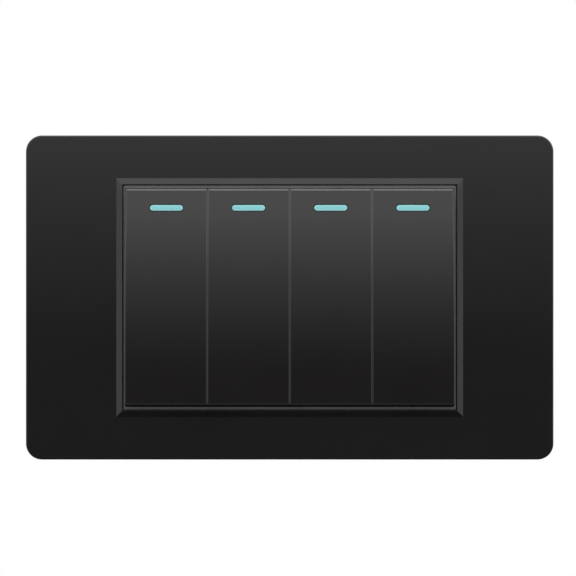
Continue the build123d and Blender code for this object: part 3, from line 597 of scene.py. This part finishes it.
# %% Eased profiles
def eased(corners, easing, steps=4, hold=0.05):
    """A line through the corners, the inner ones eased by parabolas (1-t)^2 A + 2t(1-t) C + t^2 B.

    C is the corner, and A and B lie on its two sides at the easing distance from it. The line has one
    more point a hair before each A and after each B, so that flat stretches stay flat in the shading.
    """
    corners = np.array(corners, float)
    before, corner, after = corners[:-2], corners[1:-1], corners[2:]
    easing = np.broadcast_to(easing, len(corner))[:, None]
    start = corner + easing * (before - corner) / np.linalg.norm(before - corner, axis=1, keepdims=True)
    stop = corner + easing * (after - corner) / np.linalg.norm(after - corner, axis=1, keepdims=True)
    start, corner, stop = start[:, None], corner[:, None], stop[:, None]
    t = np.linspace(0, 1, steps + 1)[None, :, None]
    bends = (1 - t) ** 2 * start + 2 * t * (1 - t) * corner + t**2 * stop
    lead_in, lead_out = start + hold * (start - corner), stop + hold * (stop - corner)
    bends = np.concatenate([lead_in, bends, lead_out], axis=1)
    return np.concatenate([corners[:1], bends.reshape(-1, 2), corners[-1:]])


print("an eased corner has", len(eased([(0, 1), (0, 0), (1, 0)], 0.1)) - 2, "points")

# %% Straight bars
def cross_bar(outline, start, stop):
    """A side-view outline (along, out) carried straight across from start to stop, closed at both ends.

    A negative sum of x1 y2 - x2 y1 round the outline means that it runs clockwise, and then it is turned.
    """
    outline = np.array(outline, float)
    after = np.roll(outline, -1, axis=0)
    if np.sum(outline[:, 0] * after[:, 1] - after[:, 0] * outline[:, 1]) < 0:
        outline = outline[::-1]
    count = len(outline)
    across = np.repeat([start, stop], count)
    points = np.column_stack([across, np.tile(outline, (2, 1))])
    first = np.arange(count)
    second = (first + 1) % count
    walls = np.column_stack([first, second, second + count, first + count])
    return points, [walls, first[None, ::-1], first[None] + count]


square_bar = cross_bar([(0, 0), (1, 0), (1, 1), (0, 1)], start=0, stop=5)
print("a square bar has", sum(len(group) for group in square_bar[1]), "faces")

# %% From sheets of points to a piece
mm = 1000  # millimetres in a metre
sharp_edge = radians(32)


def upright(points):
    """From (across, along, out) on the panel to the frame's axes: across, minus out and along."""
    return np.column_stack([points[:, 0], -points[:, 2], points[:, 1]])


def make_piece(name, sheets, slot, body, marks=None):
    """A smooth mesh from sheets of (points in millimetres, groups of faces), riding on a body."""
    starts = np.cumsum([0] + [len(points) for points, _ in sheets])
    points = np.concatenate([points for points, _ in sheets]) / mm
    faces = []
    for start, (_, groups) in zip(starts, sheets):
        for group in groups:
            faces += (group + start).tolist()
    mesh = bpy.data.meshes.new(name)
    mesh.from_pydata(points.tolist(), [], faces)
    for mark, values in (marks or {}).items():
        mesh.attributes.new(mark, "FLOAT", "POINT").data.foreach_set("value", values.astype(np.float32))
    mesh.shade_smooth()
    mesh.materials.append(finishes[slot])
    piece = bpy.data.objects.new(name, mesh)
    scene.collection.objects.link(piece)
    split = piece.modifiers.new("sharp edges", "EDGE_SPLIT")
    split.split_angle = sharp_edge
    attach(piece, body)
    return piece


print("edges sharper than", round(sharp_edge, 3), "radians stay crisp")

# %% [markdown]
# The glass panel
#
# A plate of 3.2 mm glass with a window cut out, its rims ground to a fine bevel so that it doesn't cut.
# A thickened plane with a hole would do for its face, but not for the ground edge. Here the edge's
# profile is carried round the outer outline, the window's profile round the window, and the stack closes
# on itself.

# %% Glass panel
panel_width, panel_height = (glass_high.x - glass_low.x) * mm, (glass_high.z - glass_low.z) * mm
glass_back, glass_front = -glass_high.y * mm, -glass_low.y * mm
panel_corner, rim_bevel, rim_easing = 3.6, 0.25, (0.15, 0.1, 0.1)
window_width, window_height, window_corner, cut_easing = 76.8, 52.65, 0.95, 0.12
reach = 1.0  # how far the two profiles run in from the edge
rim = eased(
    [
        (reach, glass_back), (0, glass_back), (0, glass_front - rim_bevel), (rim_bevel, glass_front),
        (reach, glass_front),
    ],
    rim_easing,
)
cut = eased([(reach, glass_front), (0, glass_front), (0, glass_back), (reach, glass_back)], cut_easing)
panel_across, panel_along = stacked_loops(
    loop_pattern(side_steps=24, end_steps=24, corner_steps=16),
    np.concatenate([panel_width - 2 * rim[:, 0], window_width + 2 * cut[:, 0]]),
    np.concatenate([panel_height - 2 * rim[:, 0], window_height + 2 * cut[:, 0]]),
    np.concatenate([panel_corner - rim[:, 0], window_corner + cut[:, 0]]),
)
panel_out = np.concatenate([rim[:, 1], cut[:, 1]])[:, None]
panel_points = grid(panel_across, panel_along, panel_out).reshape(-1, 3)
panel_faces = loop_faces(*panel_across.shape, closed=True)
glass = make_piece("glass_sheet", [(upright(panel_points), [panel_faces])], "black_glass", "base")
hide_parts("glass_panel")
print("glass", round(panel_width, 1), "x", round(panel_height, 1), "mm,", len(panel_faces), "faces")

# %% [markdown]
# The window frame
#
# A moulded frame, the bezel, stands in the window: a slope that rises towards the keys, mitred like a
# picture frame, with a skirt through the glass and six snap legs behind it. Its whole section is one
# closed profile carried round the window. Corners of almost no radius give the mitres, and the eased
# edges catch the light as thin lines. The legs are short bars with a hooked side view, carried straight
# across.

# %% Section of the window frame
bezel_width, bezel_height, bezel_rise = 77.5, 53.35, 1.1
foot_seat, foot_rise, slope_reach, lip_reach, lip_depth = 0.2, 0.25, 1.38, 1.5, 0.6
skirt_outer, skirt_inner, skirt_drop, skirt_corner, skirt_start = 0.4, 1.1, 3.9, 0.9, 0.02
mitre_corner, closing_gap = 0.06, 0.01
foot_easing, slope_easing, edge_easing = 0.02, 0.06, 0.05
bezel_front = glass_front + bezel_rise
lip_back, skirt_end = bezel_front - lip_depth, glass_front - skirt_drop
section_corners = [
    (foot_seat, glass_front), (0, glass_front), (0, glass_front + foot_rise), (slope_reach, bezel_front),
    (lip_reach, bezel_front), (lip_reach, lip_back), (skirt_inner, lip_back), (skirt_inner, skirt_end),
    (skirt_outer, skirt_end), (skirt_outer, glass_front), (foot_seat + closing_gap, glass_front),
]
section = eased(section_corners, [foot_easing, slope_easing] + 7 * [edge_easing])
inset, out = section.T
outer_skirt = (out < glass_front - skirt_start) & (inset < (skirt_outer + skirt_inner) / 2)
bezel_across, bezel_along = stacked_loops(
    loop_pattern(side_steps=24, end_steps=24, corner_steps=6),
    bezel_width - 2 * inset,
    bezel_height - 2 * inset,
    np.where(outer_skirt, skirt_corner, mitre_corner),
)
bezel_points = grid(bezel_across, bezel_along, out[:, None]).reshape(-1, 3)
bezel_sheets = [(upright(bezel_points), [loop_faces(*bezel_across.shape, closed=True)])]
print("window frame's section:", len(section), "points")

# %% Snap legs of the window frame
leg_inner, leg_outer, hook_reach = 25.575, 26.275, 26.925
leg_root, hook_shelf, hook_nose, leg_tip = 6.0, 4.5, 3.9, 2.4
leg_places, leg_width = (-25.0, 0.0, 25.0), 5.0
leg_outline = np.array([
    (leg_inner, leg_root), (leg_inner, leg_tip), (leg_outer, leg_tip), (hook_reach, hook_nose),
    (hook_reach, hook_shelf), (leg_outer, hook_shelf), (leg_outer, leg_root),
])
for side in (1, -1):
    for middle in leg_places:
        points, faces = cross_bar(leg_outline * (side, 1), middle - leg_width / 2, middle + leg_width / 2)
        bezel_sheets.append((upright(points), faces))
window_frame = make_piece("window_frame", bezel_sheets, "bezel_plastic", "base")
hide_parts("window_bezel")
print("window frame with", len(bezel_sheets) - 1, "legs,", len(window_frame.data.polygons), "faces")

# %% [markdown]
# The keys
#
# Each key is a shell with a face crowned along its length, a bevel at each end, finer bevels at its
# sides and a slot for its coloured bar. It hangs on a pivot and rests with its upper end in. A box with
# a bevel modifier would lose the crown and the slot. The stack of loops starts at the shell's rear edge,
# rolls over the bevels, runs across the face to the slot, dives through it and comes back along the
# inside.

# %% Places on a key
key_length, key_rise, key_crown = 48.15, 5.2, 350.0
pivot_out, key_tilt = 7.0, radians(3.0)


def across_mm(node):
    """A part's middle and width across the panel, in millimetres."""
    low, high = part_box(node)
    return (low.x + high.x) / 2 * mm, (high.x - low.x) * mm


def crown(along):
    """Height of the face above the pivot: a circle of the crown's radius, highest at the key's middle."""
    return key_rise - key_crown + np.sqrt(key_crown**2 - along**2)


def on_key(points, middle):
    """From (across, along, height) on a key to the frame's axes, turned in at the top by the tilt.

    Out is height x cos - along x sin, and up is along x cos + height x sin.
    """
    across, along, height = points.T
    turned_out = height * cos(key_tilt) - along * sin(key_tilt)
    turned_up = along * cos(key_tilt) + height * sin(key_tilt)
    return np.column_stack([middle + across, -pivot_out - turned_out, turned_up])


print("a key's face falls by", round(key_rise - crown(key_length / 2), 2), "mm to its ends")

# %% Outside and inside of a key
key_wall, key_thickness, key_corner, inner_corner = 1.3, 1.6, 0.07, 0.3
edge_depth, bevel_drop, end_bevel, side_bevel, bevel_land = 0.9, 0.12, 0.5, 0.25, 0.6
end_easing, side_easing = (0.03, 0.06), (0.02, 0.06)
key_pattern = loop_pattern(side_steps=48, end_steps=20, corner_steps=5)


def key_outside(key_width):
    """Loops of (across, along, drop below the crown) from the walls over the bevels on to the face.

    The drop is that of the side bevel at the sides, that of the end bevel at the ends, and between them a
    blend by the squared direction.
    """
    end_line = [(0, edge_depth), (0, bevel_drop), (end_bevel, 0), (end_bevel + bevel_land, 0)]
    side_line = [(0, edge_depth), (0, bevel_drop), (side_bevel, 0), (side_bevel + bevel_land, 0)]
    end_edge, side_edge = eased(end_line, end_easing), eased(side_line, side_easing)
    width, length = key_width - 2 * side_edge[:, 0], key_length - 2 * end_edge[:, 0]
    across, along = stacked_loops(key_pattern, width, length, key_corner)
    turn_across, turn_along = key_pattern[2:]
    drop = side_edge[:, 1:] * turn_across**2 + end_edge[:, 1:] * turn_along**2
    return grid(across, along, drop)


def key_inside(key_width):
    """One loop along the inner walls, as far below the crown as the face is thick."""
    width, length = key_width - 2 * key_wall, key_length - 2 * key_wall
    across, along = stacked_loops(key_pattern, width, length, inner_corner)
    return grid(across, along, key_thickness)


print("a key's edge has", len(key_outside(across_mm("key_1")[1])), "loops")

# %% Slot of a key
slot_place, slot_length, slot_height = 19.76, 7.64, 1.60
slot_land, slot_easing = 0.4, 0.05


def key_slot(face_loop):
    """Loops through the slot, each place straight in from a place of a loop on the face.

    The spot is the nearest one on the slot's middle line, and the direction points from it to the place.
    """
    across, along, _ = face_loop.T
    reach = (slot_length - slot_height) / 2
    spot = np.clip(across, -reach, reach)
    distance = np.hypot(across - spot, along - slot_place)
    pattern = spot / reach, 0 * spot, (across - spot) / distance, (along - slot_place) / distance
    inset, drop = eased([(slot_land, 0), (0, 0), (0, key_thickness)], slot_easing).T
    radius = slot_height / 2 + inset
    across, along = stacked_loops(pattern, slot_length + 2 * inset, 2 * radius, radius, slot_place)
    return grid(across, along, drop[:, None])


print("a key's slot is", slot_length, "x", slot_height, "mm")

# %% Shell of a key
face_steps, ceiling_steps = 40, 10


def between(first, last, shares):
    """Loops on straight lines from the first loop to the last: first x (1 - share) + last x share."""
    shares = shares[:, None, None]
    return first * (1 - shares) + last * shares


def key_shell(key_width):
    """The key's shell as one closed stack, with straight lines over the face and over the ceiling.

    A point's height is the crown less its drop, and the rear edge lies flat at the pivot's height.
    """
    outside, inside = key_outside(key_width), key_inside(key_width)
    slot = key_slot(outside[-1])
    face = between(outside[-1], slot[0], np.linspace(0, 1, face_steps)[1:-1])
    ceiling = between(slot[-1], inside[0], np.linspace(0, 1, ceiling_steps)[1:])
    loops = np.concatenate([outside[:1], outside, face, slot, ceiling, inside])
    across, along, drop = np.moveaxis(loops, -1, 0)
    height = crown(along) - drop
    height[[0, -1]] = 0.0
    return grid(across, along, height).reshape(-1, 3), [loop_faces(*across.shape, closed=True)]


print("a key's shell has", len(key_shell(across_mm("key_1")[1])[0]), "points")

# %% Keys
gangs = range(1, 5)
rib_near, rib_far, rib_foot = 4.4, 5.6, 2.2
hook_inner, hook_outer, hook_catch, catch_top, hook_tip = 9.1, 10.3, 8.4, 0.7, -0.1
clip_width = 7.0
seam_fill = 0.06  # how much wider than the solid a key is drawn, for the fine seams of the photo


def key_clips():
    """Two ribs that stand on the lever and two hooks that clip round its ends, as bars across the key."""
    under = key_rise - key_thickness / 2
    rib = np.array([(rib_near, rib_foot), (rib_far, rib_foot), (rib_far, under), (rib_near, under)])
    hook = np.array([
        (hook_inner, under), (hook_inner, catch_top), (hook_catch, catch_top), (hook_inner, hook_tip),
        (hook_outer, hook_tip), (hook_outer, under),
    ])
    ends = [outline * (end, 1) for outline in (rib, hook) for end in (1, -1)]
    return [cross_bar(outline, -clip_width / 2, clip_width / 2) for outline in ends]


for number in gangs:
    middle, width = across_mm(f"key_{number}")
    sheets = [key_shell(width + seam_fill)] + key_clips()
    placed = [(on_key(points, middle), faces) for points, faces in sheets]
    key = make_piece(f"rocker_key_{number}", placed, "key_plastic", f"rocker_{number}")
    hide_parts(f"key_{number}")
print("keys", round(width + seam_fill, 2), "mm wide,", len(key.data.polygons), "faces each")

# %% [markdown]
# The coloured bars
#
# A short bar with round ends sits in each key, flush with the face and held by a flange behind it. It
# could be a painted patch, but a real insert has an eased edge and a hair of shadow round it. Its loops
# rise from the flange to the face and close in on a slightly domed top. The mark "rim" runs from 1 at
# the edge of that top to 0 at its middle, and says where a paler rim is painted: a painted glow of light
# let in at the edge.

# %% Loops of a bar
bar_length, bar_height, bar_side, bar_bevel, bar_dome, bar_ridge = 7.36, 1.32, 0.5, 0.2, 0.03, 0.02
bar_easing = (0.10, 0.08)
flange_reach, flange_corner, flange_front, flange_back = 0.8, 0.2, 2.94, 2.14
bar_corners = [(0, bar_side), (0, bar_dome), (bar_bevel, 0.0), (bar_height / 2 - bar_ridge, -bar_dome)]
inset, drop = eased(bar_corners, bar_easing).T
bar = np.column_stack([bar_length - 2 * inset, bar_height - 2 * inset, bar_height / 2 - inset])
flange = (bar_length + 2 * flange_reach, bar_height + 2 * flange_reach, flange_corner)
under = np.array([flange, flange, bar[0]])
bar_loops = np.concatenate([under, bar])
bar_pattern = loop_pattern(side_steps=0, end_steps=16, corner_steps=12)
bar_across, bar_along = stacked_loops(bar_pattern, *bar_loops.T, slot_place)
bar_out = crown(bar_along) - np.concatenate([np.zeros(len(under)), drop])[:, None]
bar_out[:len(under)] = [[flange_back], [flange_front], [flange_front]]
bar_points = grid(bar_across, bar_along, bar_out).reshape(-1, 3)
print("bars", bar_length, "x", bar_height, "mm of", len(bar_loops), "loops")

# %% Coloured bars
bar_faces = capped_faces(*bar_across.shape)
# How far in from the edge the painted glow of the rim reaches, and how fast it fades towards the middle.
painted_glow_width, painted_glow_fall = 0.5, 1.5
painted_glow_share = np.clip(1 - inset / painted_glow_width, 0, 1) ** painted_glow_fall
marks = {"rim": np.concatenate([np.ones(len(under)), painted_glow_share]).repeat(bar_across.shape[1])}
for number in gangs:
    middle, _ = across_mm(f"indicator_{number}")
    placed = [(on_key(bar_points, middle), bar_faces)]
    coloured_bar = make_piece(f"coloured_bar_{number}", placed, "teal_insert", f"rocker_{number}", marks)
    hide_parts(f"indicator_{number}")
print("bars of", len(coloured_bar.data.polygons), "faces each")

# %% [markdown]
# The springs
#
# Inside each lever a coil spring pushes the plunger on to the contact blade. A bent bar with a screw
# modifier would make a coil, but a real one has closed end turns that lie nearly flat, so its climb is
# worked out here: slow in the end turns and faster between them, with a circle of wire carried along it.

# %% A coil of wire
bore_end, plunger_top = 0.4, -4.5
spring_wire, spring_radius, spring_turns, spring_end_gap = 0.5, 1.6, 4, 0.05
end_turn_gap, closed_turns, open_turns = 0.04, 0.7, 1.3


def coil_spring(turn_steps=32, wire_steps=14):
    """A round wire wound on a cylinder, as (across, along, height) and faces.

    The wire's middle is radius x (cos, sin) of the angle, and it climbs slowly in the end turns. Round it
    goes a circle: half the wire x (cos x outwards - sin x upwards), where upwards is square to the wire.
    """
    turn = np.linspace(0, spring_turns, spring_turns * turn_steps + 1)
    open_share = np.interp(np.minimum(turn, spring_turns - turn), (closed_turns, open_turns), (0, 1))
    rise = bore_end - plunger_top - 2 * spring_end_gap - spring_wire
    end_climb = spring_wire + end_turn_gap
    open_mean = np.mean((open_share[1:] + open_share[:-1]) / 2)
    open_climb = (rise / spring_turns - end_climb * (1 - open_mean)) / open_mean
    climb = end_climb + (open_climb - end_climb) * open_share
    height = np.concatenate([[0], np.cumsum((climb[1:] + climb[:-1]) / 2 / turn_steps)])
    height = (height + plunger_top + spring_end_gap + spring_wire / 2)[:, None]
    angle = (2 * pi * turn)[:, None]
    lead = np.arctan2(climb, 2 * pi * spring_radius)[:, None]
    round_wire = np.linspace(0, 2 * pi, wire_steps, endpoint=False)
    outwards = spring_radius + spring_wire / 2 * np.cos(round_wire)
    upwards = -spring_wire / 2 * np.sin(round_wire)
    across = outwards * np.cos(angle) + upwards * np.sin(lead) * np.sin(angle)
    along = outwards * np.sin(angle) - upwards * np.sin(lead) * np.cos(angle)
    points = grid(across, along, height + upwards * np.cos(lead)).reshape(-1, 3)
    first_end = np.arange(wire_steps)[None, ::-1]
    last_end = np.arange(wire_steps)[None] + (len(turn) - 1) * wire_steps
    return points, [loop_faces(len(turn), wire_steps, closed=False), first_end, last_end]


coil_points, coil_faces = coil_spring()
print("a coil of", spring_turns, "turns has", len(coil_points), "points")

# %% Springs
for number in gangs:
    middle, _ = across_mm(f"spring_{number}")
    placed = [(on_key(coil_points, middle), coil_faces)]
    spring = make_piece(f"coil_spring_{number}", placed, "spring_steel", f"rocker_{number}")
    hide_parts(f"spring_{number}")
    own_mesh(spring)

# %% [markdown]
# The wall screws
#
# Two screws hold the switch to its wall box, and behind the panel their threads stand free. A plain rod
# would do from afar, but the thread is what makes it a screw. A triangle wound round a rod would leave
# loose ends. Here the rod is a stack of rings whose radius rises and falls with the height and the angle
# together, and that is a thread. The head is a stack of slices, domed, and the driver's slot is a step
# in their height.

# %% Shaft of a screw
screw_low, screw_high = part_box("mounting_screws")
screw_tip, head_front = -screw_high.y * mm, -screw_low.y * mm
thread_radius, thread_depth, thread_pitch, tip_radius = 1.75, 0.37, 0.6, 1.2
neck_radius, neck_end, neck_in_head = 1.5, -0.3, 0.2
head_height = 2.2
head_back = head_front - head_height


def screw_shaft(ring_steps=24, pitch_steps=12):
    """Rings stacked from the tip to the head.

    The radius is that of the crests less half the depth x (1 - cos of a full turn x (turns of height -
    turns of angle)), kept inside a cone at the tip. Over the last turn it runs out into the plain neck.
    """
    angle = np.linspace(0, 2 * pi, ring_steps, endpoint=False)
    rings = round((neck_end - screw_tip) / thread_pitch * pitch_steps) + 1
    height = np.linspace(screw_tip, neck_end, rings)[:, None]
    wave = np.cos(2 * pi * (height - screw_tip) / thread_pitch - angle)
    radius = np.minimum(thread_radius - thread_depth / 2 * (1 - wave), tip_radius + height - screw_tip)
    radius = neck_radius + np.clip((neck_end - height) / thread_pitch, 0, 1) * (radius - neck_radius)
    height = np.concatenate([height, [[head_back + neck_in_head]]])
    radius = np.concatenate([radius, np.full((1, ring_steps), neck_radius)])
    points = grid(radius * np.cos(angle), radius * np.sin(angle), height).reshape(-1, 3)
    return points, capped_faces(*radius.shape)


print("thread of", round((neck_end - screw_tip) / thread_pitch, 1), "turns")

# %% Head of a screw
head_radius, head_dome = 3.5, 0.7
driver_slot, driver_depth, slot_lean = 0.9, 0.9, 0.02
last_slice = radians(88)


def screw_head(side_slices=14, chord_steps=16):
    """Slices across the head, each a closed line over its top and back underneath.

    A slice reaches as far as the head's circle, sqrt(R^2 - x^2). Its top is the dome, which falls with
    the fourth power of the distance from the middle, and in the slot it is the slot's floor.
    """
    first_slice = np.arcsin((driver_slot / 2 + slot_lean) / head_radius)
    side = head_radius * np.sin(np.linspace(first_slice, last_slice, side_slices))
    across = np.concatenate([-side[::-1], driver_slot * np.array([-0.5, 0, 0.5]), side])[:, None]
    along = np.sqrt(head_radius**2 - across**2) * np.linspace(1, -1, chord_steps + 1)
    top = head_front - head_dome * (np.hypot(across, along) / head_radius) ** 4
    top = np.where(abs(across) <= driver_slot / 2, head_front - driver_depth, top)
    along = np.concatenate([along, along[:, ::-1]], axis=1)
    out = np.concatenate([top, head_back + 0 * top], axis=1)
    return grid(across, along, out).reshape(-1, 3), capped_faces(*along.shape)


print("a head of", len(screw_head()[0]), "points")

# %% Wall screws
screw_sheets = []
for middle in (screw_low.x * mm + head_radius, screw_high.x * mm - head_radius):
    for points, faces in (screw_shaft(), screw_head()):
        screw_sheets.append((upright(points + (middle, 0, 0)), faces))
wall_screws = make_piece("wall_screws", screw_sheets, "screw_steel", "base")
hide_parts("mounting_screws")
print("wall screws", round(middle, 2), "mm from the middle,", len(wall_screws.data.polygons), "faces")

# %% [markdown]
# The parts that stay as they came
#
# The carrier, the yoke, the housing, the small screws, the levers and the contacts are right as solids.
# Their meshes are loose triangles, so round parts would look faceted: welding them and splitting only
# the sharp edges lets the round faces shade smoothly and keeps the corners crisp. Each part gets the
# finish of its slot.

# %% Finish the solid parts
weld_distance, solid_edge = 1e-6, radians(30)
slots = {part["node"]: part["material_slot"] for part in frame["record"]["subparts"]}
for name, node in frame["nodes"].items():
    node.data.materials.clear()
    node.data.materials.append(finishes[slots[name]])
    node.data.polygons.foreach_set("use_smooth", np.ones(len(node.data.polygons), bool))
    weld = node.modifiers.new("weld", "WELD")
    weld.merge_threshold = weld_distance
    split = node.modifiers.new("sharp edges", "EDGE_SPLIT")
    split.split_angle = solid_edge
print("finished", len(slots), "solid parts with", len(set(slots.values())), "finishes")
